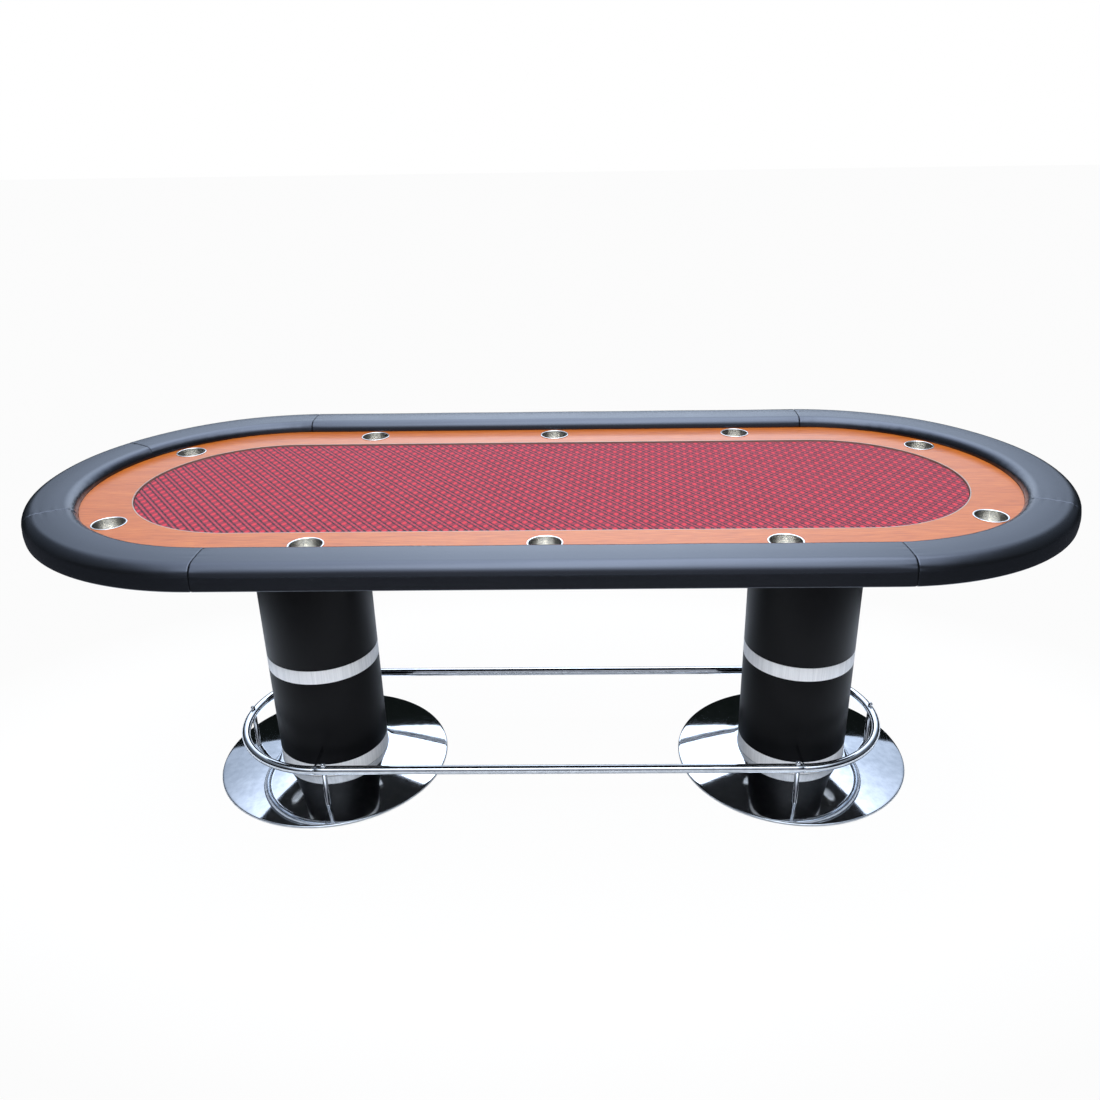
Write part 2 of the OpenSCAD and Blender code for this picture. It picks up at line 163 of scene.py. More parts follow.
# Open-cell polyurethane foam: cream and matt, with 1.4 mm cells
foam, tree, shader = new_material("open_cell_foam", Roughness=0.95)
place = add(tree, "TexCoord").outputs["Object"]
cells = add(tree, "TexVoronoi", {"Vector": place, "Scale": 700.0})
wire(tree, shader, {
    "Base Color": add(tree, "ValToRGB", cells, stops=[(0.0, "b3aa8c"), (0.6, "ddd6bf")]),
    "Normal": add(tree, "Bump", {"Height": cells, "Distance": 0.0004}),
})
dress(foam, "rail_foam", "playing_foam")


# ---------------------------------------------------------------- racetrack
# A plywood ring faced with reddish veneer whose fine straight grain runs the table's length, under
# a satin lacquer. A pale hardwood lipping is glued round the well.

# Sliced veneer, lacquered and rubbed to satin: orange-brown, with a soft glare over the grain
veneer, tree, shader = new_material("lacquered_red_veneer", Roughness=0.4, Specular_IOR_Level=0.1,
                                    Coat_Weight=0.6, Coat_Roughness=0.12)
place = add(tree, "TexCoord").outputs["Object"]
# Pores are about 0.4 mm wide and 12 mm long, drawn 1.5 mm wide so that they show
long_grain = add(tree, "Mapping", {"Vector": place, "Scale": (9.0, 260.0, 60.0)})
pores = add(tree, "TexNoise", {"Vector": long_grain, "Scale": 2.2, "Detail": 6.0, "Roughness": 0.62})
broad = add(tree, "Mapping", {"Vector": place, "Scale": (1.1, 22.0, 10.0)})
figure = add(tree, "TexNoise", {"Vector": broad, "Scale": 1.3, "Detail": 3.0, "Distortion": 0.4})
some_figure = add(tree, "Math", figure, 0.2, operation="MULTIPLY")
mixed = add(tree, "Math", pores, 0.8, some_figure, operation="MULTIPLY_ADD")
wood = add(tree, "ValToRGB", mixed,
           stops=[(0.32, "93440e"), (0.45, "b25917"), (0.56, "c1661f"), (0.70, "ce7b30")])
wire(tree, shader, {
    "Base Color": wood,
    "Normal": add(tree, "Bump", {"Height": pores, "Distance": 0.00012}),
})
dress(veneer, "racetrack")

# Pale hardwood under the same lacquer: a thin light line with hardly any grain
lipping_wood, tree, shader = new_material("pale_lacquered_lipping", Roughness=0.38, Coat_Weight=0.4,
                                          Coat_Roughness=0.2)
place = add(tree, "TexCoord").outputs["Object"]
fine_grain = add(tree, "Mapping", {"Vector": place, "Scale": (12.0, 12.0, 300.0)})
fibres = add(tree, "TexNoise", {"Vector": fine_grain, "Scale": 3.0, "Detail": 4.0})
wire(tree, shader, {"Base Color": add(tree, "ValToRGB", fibres, stops=[(0.3, "947a68"), (0.7, "ab9484")])})
dress(lipping_wood, "racetrack_lipping")


# ---------------------------------------------------------------- playing surface
# Printed polyester speed cloth pulled over foam and a plywood board, which drops into the well.
# It lies as a stadium of 1946 by 596 mm, and its edge is turned down over the board's edge.
HALF_STRAIGHT = 0.675
CLOTH_RADIUS = 0.298
CLOTH_TOP, CLOTH_FOOT = 0.7825, 0.7730

# Woven polyester, printed and coated: matt red, with a little sheen across the threads
speed_cloth, tree, shader = new_material("printed_speed_cloth", Roughness=0.75, Specular_IOR_Level=0.2,
                                         Sheen_Weight=0.08)
place = add(tree, "TexCoord").outputs["Object"]
# Motifs every 32.5 mm along the table, in rows 20.4 mm apart that step by half. The cloth is laid
# a little askew, so the two diagonals differ: turns per metre along x and y
PER_X, RISE_U, RISE_V = 30.75, 22.6, 26.4
x, y, z = add(tree, "SeparateXYZ", place).outputs
along = add(tree, "Math", x, PER_X, operation="MULTIPLY")
u = add(tree, "Math", y, RISE_U, along, operation="MULTIPLY_ADD")
v = add(tree, "Math", y, -RISE_V, along, operation="MULTIPLY_ADD")
# Place relative to the nearest motif, first in turns of each diagonal and then in metres
fu = add(tree, "Math", u, 0.5, -0.5, operation="WRAP")
fv = add(tree, "Math", v, 0.5, -0.5, operation="WRAP")
gap = add(tree, "Math", fu, fv, operation="SUBTRACT")
dy = add(tree, "Math", gap, RISE_U + RISE_V, operation="DIVIDE")
rest = add(tree, "Math", dy, -RISE_U, fu, operation="MULTIPLY_ADD")
dx = add(tree, "Math", rest, PER_X, operation="DIVIDE")
# The motif is a rounded lozenge, 12 mm by 19 mm
wide = add(tree, "Math", add(tree, "Math", dx, operation="ABSOLUTE"), 0.0064, operation="DIVIDE")
tall = add(tree, "Math", add(tree, "Math", dy, operation="ABSOLUTE"), 0.0100, operation="DIVIDE")
wide = add(tree, "Math", wide, 1.5, operation="POWER")
lozenge = add(tree, "Math", wide, add(tree, "Math", tall, 1.5, operation="POWER"), operation="ADD")
motif = add(tree, "MapRange", {"Value": lozenge, "From Min": 1.35, "From Max": 0.25},
            interpolation_type="SMOOTHSTEP")


def stripe(tree, diagonal, middle, width):
    """Thin lines along one diagonal, as 0 to 1, at +-middle turns from the motifs."""
    aside = add(tree, "Math", diagonal, operation="ABSOLUTE")
    away = add(tree, "Math", add(tree, "Math", aside, middle, operation="SUBTRACT"), operation="ABSOLUTE")
    return add(tree, "MapRange", {"Value": away, "From Min": width, "From Max": width * 0.35},
               interpolation_type="SMOOTHSTEP")


dye = add(tree, "TexNoise", {"Vector": place, "Scale": 26.0, "Detail": 4.0})
ground = add(tree, "ValToRGB", dye, stops=[(0.3, "93303f"), (0.7, "a23a4a")])
# The lines darken into dashes at both sides of each motif
aside = add(tree, "Math", dy, operation="ABSOLUTE")
level = add(tree, "MapRange", {"Value": aside, "From Min": 0.016, "From Max": 0.004, "To Min": 0.6},
            interpolation_type="SMOOTHSTEP")
faint = add(tree, "Math", stripe(tree, fv, 0.31, 0.09), 0.6, operation="MULTIPLY")
lines = add(tree, "Math", stripe(tree, fu, 0.31, 0.105), faint, operation="MAXIMUM")
dashes = add(tree, "Math", lines, level, operation="MULTIPLY")
bright = add(tree, "Math", stripe(tree, fu, 0.5, 0.09), 0.7, operation="MULTIPLY")
painted = ground.outputs[0]
# Sockets 6 and 7 of a Mix node are its two colours, and output 2 is the mixed one
for share, code in ((bright, "ce4854"), (dashes, "22222b"), (motif, "d03a46")):
    layer = add(tree, "Mix", {"Factor": share, 6: painted, 7: linear(code)}, data_type="RGBA")
    painted = layer.outputs[2]
wire(tree, shader, {"Base Color": painted})
# Plain weave of 0.8 mm threads
warp = add(tree, "Math", add(tree, "Math", x, 2 * math.pi / 0.0008, operation="MULTIPLY"), operation="SINE")
weft = add(tree, "Math", add(tree, "Math", y, 2 * math.pi / 0.0008, operation="MULTIPLY"), operation="SINE")
weave = add(tree, "Math", warp, weft, operation="MULTIPLY")
wire(tree, shader, {"Normal": add(tree, "Bump", {"Height": weave, "Distance": 0.00008})})


def make_mesh(name, points, faces, material, body, smooth=True):
    """One finished piece from points and faces, riding on a body. Doubles are merged and
    every face is turned outwards."""
    mesh = bpy.data.meshes.new(name)
    faces = faces if isinstance(faces, list) else faces.tolist()
    mesh.from_pydata(np.reshape(points, (-1, 3)).tolist(), [], faces)
    work = bmesh.new()
    work.from_mesh(mesh)
    bmesh.ops.remove_doubles(work, verts=work.verts, dist=1e-6)
    bmesh.ops.delete(work, geom=[e for e in work.edges if e.is_wire], context="EDGES")
    bmesh.ops.recalc_face_normals(work, faces=work.faces)
    work.to_mesh(mesh)
    work.free()
    mesh.polygons.foreach_set("use_smooth", [smooth] * len(mesh.polygons))
    mesh.materials.append(material)
    piece = bpy.data.objects.new(name, mesh)
    bpy.context.scene.collection.objects.link(piece)
    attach(piece, body)
    return piece


def grid_faces(rows, columns, wrap_rows=False, wrap_columns=False):
    """Four-sided faces of a grid of rows by columns points, numbered along the rows."""
    i, j = np.meshgrid(np.arange(rows if wrap_rows else rows - 1),
                       np.arange(columns if wrap_columns else columns - 1), indexing="ij")
    i2, j2 = (i + 1) % rows, (j + 1) % columns
    corners = [i * columns + j, i2 * columns + j, i2 * columns + j2, i * columns + j2]
    return np.stack(corners, -1).reshape(-1, 4)


def arc(centre, radius, start, end, count):
    """Points (r, z) on a circle about centre, from angle start to end in degrees."""
    a = np.radians(np.linspace(start, end, count))
    return np.stack([centre[0] + radius * np.cos(a), centre[1] + radius * np.sin(a)], -1)


def stadium_rim(step):
    """Spine points and outward directions round a stadium: along y = 0 on the two straights, and
    turning about (+-HALF_STRAIGHT, 0) at the ends."""
    n, m = int(2 * HALF_STRAIGHT / step), int(math.pi * CLOTH_RADIUS / step)
    xs = np.linspace(-HALF_STRAIGHT, HALF_STRAIGHT, n, endpoint=False)
    angles = np.linspace(-np.pi / 2, np.pi / 2, m, endpoint=False)
    spine = np.concatenate([xs, np.full(m, HALF_STRAIGHT), -xs, np.full(m, -HALF_STRAIGHT)])
    turn = np.concatenate([np.full(n, -np.pi / 2), angles, np.full(n, np.pi / 2), angles + np.pi])
    return spine, turn


spine, turn = stadium_rim(0.012)
# From the spine outwards: flat, over a 3 mm rounded edge, and down to the hem
EDGE_ROUND = 0.003
flat_part = np.linspace(0, CLOTH_RADIUS - EDGE_ROUND, 24)
edge = arc((CLOTH_RADIUS - EDGE_ROUND, CLOTH_TOP - EDGE_ROUND), EDGE_ROUND, 90, 0, 7)
reach = np.concatenate([flat_part, edge[1:, 0], [CLOTH_RADIUS]])
height = np.concatenate([np.full(24, CLOTH_TOP), edge[1:, 1], [CLOTH_FOOT]])
points = np.stack([spine[:, None] + reach * np.cos(turn)[:, None], reach * np.sin(turn)[:, None],
                   np.broadcast_to(height, (len(turn), len(height)))], -1)
faces = grid_faces(len(turn), len(reach), wrap_rows=True)
cloth = make_mesh("playing_cloth_sheet", points, faces, speed_cloth, "playing_surface")
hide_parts("playing_cloth")


# ---------------------------------------------------------------- padded rail
# Foam 20 to 35 mm thick on a plywood ring, covered in seven panels of black upholstery vinyl that
# are stapled underneath. The panels are sewn end to end, and pucker a little at each seam.
RAIL_OUTER, RAIL_INNER = 0.525, 0.412
RAIL_TOP, RAIL_FOOT = 0.812, 0.758
DECK_TOP, LIP_INNER = 0.7685, 0.499

# PVC upholstery vinyl, calendered: near black, with a broad gloss. The gloss is given a cool tint, which is
# painted light: the blue of the sky that it reflects
vinyl, tree, shader = new_material("embossed_black_vinyl", IOR=1.6, Specular_IOR_Level=0.8,
                                   Specular_Tint=linear("dfe9ff"))
place = add(tree, "TexCoord").outputs["Object"]
# Leather grain of 1.3 mm pebbles, embossed with a roller, over slow changes in the gloss
pebbles = add(tree, "TexVoronoi", {"Vector": place, "Scale": 760.0}, feature="SMOOTH_F1")
pits = add(tree, "TexNoise", {"Vector": place, "Scale": 1500.0, "Detail": 2.0})
some_pits = add(tree, "Math", pits, 0.2, operation="MULTIPLY")
grain = add(tree, "Math", pebbles, 0.8, some_pits, operation="MULTIPLY_ADD")
wire(tree, shader, {"Base Color": add(tree, "ValToRGB", grain, stops=[(0.1, "0c0d0e"), (0.6, "141517")])})
gloss = add(tree, "TexNoise", {"Vector": place, "Scale": 9.0, "Detail": 3.0})
wire(tree, shader, {
    "Roughness": add(tree, "Math", gloss, 0.09, 0.21, operation="MULTIPLY_ADD"),
    "Normal": add(tree, "Bump", {"Height": grain, "Distance": 0.00006}),
})


def rail_loop():
    """The rail's closed section as (distance from the spine, z), anticlockwise from the outer foot,
    with its outward normals. The top and the side are crowned by crown sin(pi t), with t from 0 to
    1 across them."""
    outer_round, inner_round, foot_round, crown = 0.0285, 0.026, 0.004, 0.0008
    side_z = np.linspace(RAIL_FOOT + foot_round, RAIL_TOP - outer_round, 7)
    side = np.stack([np.full(7, RAIL_OUTER), side_z], -1)
    side[:, 0] += crown * np.sin(np.linspace(0, np.pi, 7))
    top_x = np.linspace(RAIL_OUTER - outer_round, RAIL_INNER + inner_round, 14)
    top = np.stack([top_x, RAIL_TOP + crown * np.sin(np.linspace(0, np.pi, 14))], -1)
    loop = np.concatenate([
        arc((RAIL_OUTER - foot_round, RAIL_FOOT + foot_round), foot_round, -90, 0, 6)[:-1],
        side[:-1],
        arc((RAIL_OUTER - outer_round, RAIL_TOP - outer_round), outer_round, 0, 90, 16)[:-1],
        top[:-1],
        arc((RAIL_INNER + inner_round, RAIL_TOP - inner_round), inner_round, 90, 180, 16),
        [(RAIL_INNER, DECK_TOP + 0.008), (RAIL_INNER, DECK_TOP), (RAIL_INNER + 0.04, DECK_TOP),
         (LIP_INNER, DECK_TOP), (LIP_INNER, RAIL_FOOT)],
    ])
    ahead, behind = np.roll(loop, -1, 0), np.roll(loop, 1, 0)
    along = ahead - behind
    normals = np.stack([along[:, 1], -along[:, 0]], -1)
    return loop, normals / np.linalg.norm(normals, axis=1, keepdims=True)


def stations(length):
    """Distances along a panel: 24 mm (k / 19)^1.6 from each end, and every 5 mm in between."""
    fine_part, pitch = 0.024, 0.005
    near = fine_part * np.linspace(0, 1, 20) ** 1.6
    middle = np.linspace(fine_part, length - fine_part, max(3, int(length / pitch)))
    return np.concatenate([near[:-1], middle, length - near[-2::-1]])


SIDE = 2 * HALF_STRAIGHT
BEND = math.pi * (RAIL_OUTER + RAIL_INNER) / 2


def rail_line(s):
    """Spine x and outward direction in radians at distance s along the rail's middle line, which
    runs along the front to the right, round the right end, back along the back, and round the left."""
    knots = np.cumsum([0, SIDE, BEND, SIDE, BEND])
    s = np.mod(s, knots[-1])
    spine_x = HALF_STRAIGHT * np.interp(s, knots, [-1, 1, 1, -1, -1])
    return spine_x, np.radians(np.interp(s, knots, [-90, -90, 90, 90, 270]))


def rail_panel(name, start, end, body, seed):
    """One panel, between two distances along the rail's middle line. A point of the section stands
    at spine + distance x direction. It is drawn in along its normal by
    roll(t) = R - sqrt(R^2 - (R - t)^2) within R of an end, by
    pucker(t, w) = P exp(-t / L) times a wave of w, the distance round the section, and by two
    sines along the bends' edges and the whole panel, gather and swell."""
    rng = np.random.default_rng(seed)
    seam_gap, radius = 0.0002, 0.0024
    pucker_depth, gather_depth, swell_depth = 0.00045, 0.00008, 0.0003
    length = end - start - 2 * seam_gap
    s = stations(length)
    spine_x, turn = [part[:, None] for part in rail_line(start + seam_gap + s)]
    loop, normals = rail_loop()
    w = np.concatenate([[0], np.cumsum(np.linalg.norm(np.diff(loop, axis=0), axis=1))])
    t = np.minimum(s, length - s)[:, None]
    roll = np.where(t < radius, radius - np.sqrt(np.maximum(radius ** 2 - (radius - t) ** 2, 0)), 0)
    pucker = np.zeros((len(s), len(w)))
    for near_end in (s[:, None], length - s[:, None]):
        wave = np.zeros(len(w))
        for pitch in (0.0085, 0.013, 0.021):
            wave += np.sin(2 * np.pi * w / pitch + rng.uniform(0, 6.3)) * rng.uniform(0.6, 1)
        reach = 0.012 + 0.010 * (0.5 + 0.5 * np.sin(2 * np.pi * w / 0.037 + rng.uniform(0, 6.3)))
        pucker += pucker_depth * np.clip(wave, -0.6, 3) * np.exp(-near_end / reach)
    # On the bends, the vinyl gathers on the tight inner side and drags a little on the outer one
    inner = np.exp(-((loop[:, 0] - RAIL_INNER) / 0.018) ** 2)
    outer = np.exp(-((loop[:, 0] - RAIL_OUTER) / 0.010) ** 2) * 0.5
    bent = np.where(np.abs(np.sin(turn)) < 0.9999, 1.0, 0.0)
    gather = np.zeros_like(pucker)
    for pitch in (0.031, 0.047, 0.083):
        wave = np.sin(2 * np.pi * s[:, None] / pitch + rng.uniform(0, 6.3) + 9 * w)
        gather += gather_depth * bent * wave * (inner + outer)
    # The foam is never quite even
    swell = swell_depth * np.sin(2 * np.pi * s[:, None] / 0.31 + rng.uniform(0, 6.3))
    swell = swell * np.sin(np.pi * w / w[-1])
    upper = np.clip((loop[:, 1] - DECK_TOP) / 0.01, 0, 1)
    inwards = roll + (pucker + gather + swell) * upper
    q = loop[:, 0] - normals[:, 0] * inwards
    z = loop[:, 1] - normals[:, 1] * inwards
    points = np.stack([spine_x + q * np.cos(turn), q * np.sin(turn), z], -1)
    rows, columns = len(s), len(w)
    faces = grid_faces(rows, columns, wrap_columns=True)
    mesh_points = points.reshape(-1, 3)
    middle = [points[0].mean(0), points[-1].mean(0)]
    caps = []
    for k, row in enumerate((0, rows - 1)):
        ring = row * columns + np.arange(columns)
        caps.append(np.stack([ring, np.roll(ring, -1), np.full(columns, rows * columns + k)], -1))
    mesh_points = np.concatenate([mesh_points, middle])
    all_faces = faces.tolist() + np.concatenate(caps).tolist()
    piece = make_mesh(name, mesh_points, all_faces, vinyl, body)
    return piece


# Distances of the seven seams along the rail's middle line. The front panel's two seams lie a
# little past the ends of the straight, and the right end's seam 62 degrees round the bend
BACK_START = SIDE + BEND
LEFT_START = BACK_START + SIDE
FRONT_LEFT, FRONT_RIGHT = 0.004, 0.0285
seams = [FRONT_LEFT, SIDE + FRONT_RIGHT, SIDE + BEND * 62 / 180, BACK_START, LEFT_START,
         LEFT_START + BEND / 3, LEFT_START + BEND * 2 / 3, LEFT_START + BEND + FRONT_LEFT]
sides = ["front", "right_front", "right_back", "back", "left_back", "left_end", "left_front"]
for seed, side in enumerate(sides):
    panel = rail_panel("rail_pad_" + side, seams[seed], seams[seed + 1], "table", seed)
    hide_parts("rail_cover_" + side)
    if side == "front":
        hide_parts("rail_foam")


# ---------------------------------------------------------------- cup holders
# Drop-in cups of drawn stainless steel, 75 mm across the rim and 72 mm deep, brushed round on the
# lathe. Each hangs in its hole by the rolled rim.
RACETRACK_TOP = 0.786


def revolve(name, profile, place, material, body, segments=128):
    """A closed (r, z) profile turned once round the upright axis at place: the point at row i and
    angle a is place + (r cos a, r sin a, z)."""
    profile = np.asarray(profile, float)
    a = np.linspace(0, 2 * np.pi, segments, endpoint=False)
    r, z = profile[:, :1], profile[:, 1:]
    x, y = place[0] + r * np.cos(a), place[1] + r * np.sin(a)
    points = np.stack([x, y, np.broadcast_to(z, x.shape)], -1)
    faces = grid_faces(len(profile), segments, wrap_rows=True, wrap_columns=True)
    return make_mesh(name, points, faces, material, body)


# Stainless steel, brushed as it turned: bright, with highlights that spread round the wall
cup_steel, tree, shader = new_material("spun_stainless_steel", Metallic=1.0)
place = add(tree, "TexCoord").outputs["Object"]
# Lathe lines 0.5 mm apart run round the wall
lines = add(tree, "Mapping", {"Vector": place, "Scale": (14.0, 14.0, 2000.0)})
brushing = add(tree, "TexNoise", {"Vector": lines, "Scale": 1.0, "Detail": 3.0})
wire(tree, shader, {
    "Base Color": add(tree, "ValToRGB", brushing, stops=[(0.3, "efece6"), (0.7, "fffdf8")]),
    "Roughness": add(tree, "Math", brushing, 0.08, 0.14, operation="MULTIPLY_ADD"),
    "Normal": add(tree, "Bump", {"Height": brushing, "Distance": 0.00003}),
})

mm = 0.001
rim_top = RACETRACK_TOP + 1.5 * mm
bottom = RACETRACK_TOP - 72 * mm
bore, body, rim, corner = 33.5 * mm, 34.5 * mm, 37.5 * mm, 6 * mm
cup_profile = np.concatenate([
    [(0, bottom + 1 * mm), (20 * mm, bottom + 1 * mm)],
    arc((body - corner, bottom + corner), corner - 1 * mm, -90, 0, 8),
    [(bore, bottom + 30 * mm), (bore, rim_top - 3 * mm)],
    arc((bore + 1.5 * mm, rim_top - 1.5 * mm), 1.5 * mm, 180, 90, 8),
    arc((rim - 0.75 * mm, rim_top - 0.75 * mm), 0.75 * mm, 90, -60, 8),
    [(rim - 0.6 * mm, RACETRACK_TOP + 0.05 * mm), (body, RACETRACK_TOP - 0.3 * mm)],
    [(body, bottom + 30 * mm)],
    arc((body - corner, bottom + corner), corner, 0, -90, 8),
    [(20 * mm, bottom), (0, bottom)],
])
# Three cups along each side, and two round each end
CUP_LINE, CUP_PITCH, CUP_ANGLE = 0.366, 0.489, math.radians(41.5)
side_cups = [(x, y) for y in (-CUP_LINE, CUP_LINE) for x in (-CUP_PITCH, 0, CUP_PITCH)]
end_x = HALF_STRAIGHT + CUP_LINE * math.cos(CUP_ANGLE)
end_y = CUP_LINE * math.sin(CUP_ANGLE)
end_cups = [(x, y) for x in (-end_x, end_x) for y in (-end_y, end_y)]
for i, cup_place in enumerate(side_cups + end_cups, 1):
    node = "cup_" + str(i)
    cup = revolve("cup_holder_" + str(i), cup_profile, cup_place, cup_steel, node + "_body", 96)
    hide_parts(node)


# ---------------------------------------------------------------- pedestals
# Each pedestal is a drum of bent plywood faced with black laminate, cut by two flush bands of
# brushed aluminium and bolted up under the deck through a black steel plate.
PEDESTALS = {"left": -0.596, "right": 0.626}
DRUM = 0.139

# High-pressure laminate with a satin press finish: black, with a soft dark gloss
laminate, tree, shader = new_material("black_satin_laminate", Specular_IOR_Level=0.15)
place = add(tree, "TexCoord").outputs["Object"]
orange_peel = add(tree, "TexNoise", {"Vector": place, "Scale": 420.0, "Detail": 2.0})
cloudy = add(tree, "TexNoise", {"Vector": place, "Scale": 6.0, "Detail": 3.0})
wire(tree, shader, {
    "Base Color": add(tree, "ValToRGB", cloudy, stops=[(0.3, "060607"), (0.7, "0a0a0c")]),
    "Roughness": add(tree, "Math", cloudy, 0.1, 0.34, operation="MULTIPLY_ADD"),
    "Normal": add(tree, "Bump", {"Height": orange_peel, "Distance": 0.00002}),
})

# Aluminium strip, brushed upright and clear anodised: almost white, with fine streaks
aluminium, tree, shader = new_material("brushed_aluminium", Metallic=0.4)
place = add(tree, "TexCoord").outputs["Object"]
x, y, z = add(tree, "SeparateXYZ", place).outputs
# Scratches run upright, 0.6 mm apart round the drum, so they are read off the angle about its axis
from_left = add(tree, "Math", x, PEDESTALS["left"], operation="SUBTRACT")
from_right = add(tree, "Math", x, PEDESTALS["right"], operation="SUBTRACT")
is_right = add(tree, "Math", x, 0.0, operation="GREATER_THAN")
# Sockets 2 and 3 of a Mix node are its two numbers
local_x = add(tree, "Mix", {"Factor": is_right, 2: from_left, 3: from_right})
angle = add(tree, "Math", y, local_x, operation="ARCTAN2")
round_it = add(tree, "Math", angle, 230.0, operation="MULTIPLY")
up_it = add(tree, "Math", z, 12.0, operation="MULTIPLY")
cross = add(tree, "CombineXYZ", round_it, 0.0, up_it)
scratches = add(tree, "TexNoise", {"Vector": cross, "Scale": 1.0, "Detail": 5.0, "Roughness": 0.7})
broad_cross = add(tree, "CombineXYZ", add(tree, "Math", angle, 26.0, operation="MULTIPLY"), 0.0, z)
broad_marks = add(tree, "TexNoise", {"Vector": broad_cross, "Scale": 1.0, "Detail": 3.0})
some_marks = add(tree, "Math", broad_marks, 0.4, operation="MULTIPLY")
metal = add(tree, "Math", scratches, 0.6, some_marks, operation="MULTIPLY_ADD")
metal_colour = add(tree, "ValToRGB", metal, stops=[(0.32, "cfd1d4"), (0.5, "ebecee"), (0.68, "fcfcfd")])
wire(tree, shader, {
    "Base Color": metal_colour,
    "Roughness": add(tree, "Math", scratches, 0.25, 0.38, operation="MULTIPLY_ADD"),
    "Normal": add(tree, "Bump", {"Height": scratches, "Distance": 0.00004}),
})

# Baked powder coat: black, with a fine orange peel
plate_paint, tree, shader = new_material("black_powder_coat", Roughness=0.5)
place = add(tree, "TexCoord").outputs["Object"]
texture = add(tree, "TexNoise", {"Vector": place, "Scale": 900.0, "Detail": 2.0})
wire(tree, shader, {
    "Base Color": add(tree, "ValToRGB", texture, stops=[(0.3, "08080a"), (0.7, "121214")]),
    "Normal": add(tree, "Bump", {"Height": texture, "Distance": 0.00008}),
})


def sleeve(radius, wall, z0, z1, ease):
    """Closed section of an upright tube wall, (radius, z), with its outer edges rounded by ease."""
    return np.concatenate([
        [(radius - wall, z1), (radius - wall, z0)],
        arc((radius - ease, z0 + ease), ease, -90, 0, 5),
        arc((radius - ease, z1 - ease), ease, 0, 90, 5),
    ])


# Each tube stops 0.1 mm short of its neighbour, and its edges are eased a little
WALL, JOINT_GAP = 0.006, 0.0001
tubes = {"upper_drum": (laminate, "drum_laminate", 0.0006),
         "middle_band": (aluminium, "band_aluminium", 0.0003),
         "lower_drum": (laminate, "drum_laminate", 0.0006),
         "bottom_band": (aluminium, "band_aluminium", 0.0003)}
for side, axis_x in PEDESTALS.items():
    for part, (material, slot_name, ease) in tubes.items():
        node = side + "_" + part
        lowest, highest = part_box(node)
        section = sleeve(DRUM, WALL, lowest[2] + JOINT_GAP, highest[2] - JOINT_GAP, ease)
        tube = revolve(node + "_shell", section, (axis_x, 0), material, "table", 192)
        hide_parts(node)
dress(plate_paint, "left_top_plate", "right_top_plate")
dress(raw_plywood, "left_drum_formers", "right_drum_formers", "left_base_riser", "right_base_riser")


# ---------------------------------------------------------------- base discs
# Spun steel discs, 594 mm across, polished and chromed to a mirror. Each is a shallow cone with a
# rolled rim; a steel plate and a rubber ring are hidden under it.

# Buffed and chromed steel: a mirror with very slight waves and wipe marks
mirror_steel, tree, shader = new_material("polished_chromed_disc", Metallic=1.0, Roughness=0.05)
place = add(tree, "TexCoord").outputs["Object"]
waves = add(tree, "TexNoise", {"Vector": place, "Scale": 14.0, "Detail": 2.0})
wipes = add(tree, "TexNoise", {"Vector": place, "Scale": 55.0, "Detail": 4.0})
wire(tree, shader, {
    "Base Color": add(tree, "ValToRGB", wipes, stops=[(0.3, "cdd1d6"), (0.7, "e3e6ea")]),
    "Roughness": add(tree, "Math", wipes, 0.05, 0.03, operation="MULTIPLY_ADD"),
    "Normal": add(tree, "Bump", {"Height": waves, "Distance": 0.00012}),
})

RIM, CONE_TOP = 0.297, 0.141
disc_profile = np.concatenate([
    [(RIM - 0.0015, 0.001)],
    [(RIM, 0.001), (RIM, 0.0035)],
    arc((RIM - 0.003, 0.0035), 0.003, 20, 78, 6),
    [(RIM - 0.006, 0.0072), (RIM - 0.015, 0.00885), (0.24, 0.0172), (0.19, 0.0262), (0.16, 0.0317)],
    [(0.150, 0.0335), (0.145, 0.0343), (CONE_TOP, 0.0347), (0.134, 0.0348), (0.134, 0.0335), (0.150, 0.0320)],
    [(0.19, 0.0247), (0.24, 0.0157), (RIM - 0.015, 0.0072), (RIM - 0.0015, 0.0045)],
])
for side, axis_x in PEDESTALS.items():
    disc = revolve(side + "_disc", disc_profile, (axis_x, 0), mirror_steel, "table", 256)
    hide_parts(side + "_base_disc")

# Moulded rubber: dull black with a little dust
black_rubber, tree, shader = new_material("moulded_black_rubber", Roughness=0.8)
place = add(tree, "TexCoord").outputs["Object"]
dust = add(tree, "TexNoise", {"Vector": place, "Scale": 300.0, "Detail": 3.0})
wire(tree, shader, {
    "Base Color": add(tree, "ValToRGB", dust, stops=[(0.3, "0c0c0c"), (0.7, "1b1b1a")]),
    "Normal": add(tree, "Bump", {"Height": dust, "Distance": 0.0001}),
})
dress(black_rubber, "left_floor_ring", "right_floor_ring")
dress(plate_paint, "left_base_weight", "right_base_weight")


# ---------------------------------------------------------------- foot rail
# One loop of 22 mm chromed steel tube in two straights and two half-circle bends, pinned end to
# end. It stands on six posts, each held down by a threaded rod and a domed nut.
TUBE = 0.011
RAIL_LINE, RAIL_Z = 0.2285, 0.122

# Chromed tube, polished on the belt: a mirror with faint smears
chrome, tree, shader = new_material("chromed_steel_tube", Metallic=1.0, Roughness=0.06)
place = add(tree, "TexCoord").outputs["Object"]
smears = add(tree, "TexNoise", {"Vector": place, "Scale": 70.0, "Detail": 3.0})
wire(tree, shader, {
    "Base Color": add(tree, "ValToRGB", smears, stops=[(0.3, "d2d5d9"), (0.7, "e8eaed")]),
    "Roughness": add(tree, "Math", smears, 0.06, 0.03, operation="MULTIPLY_ADD"),
})


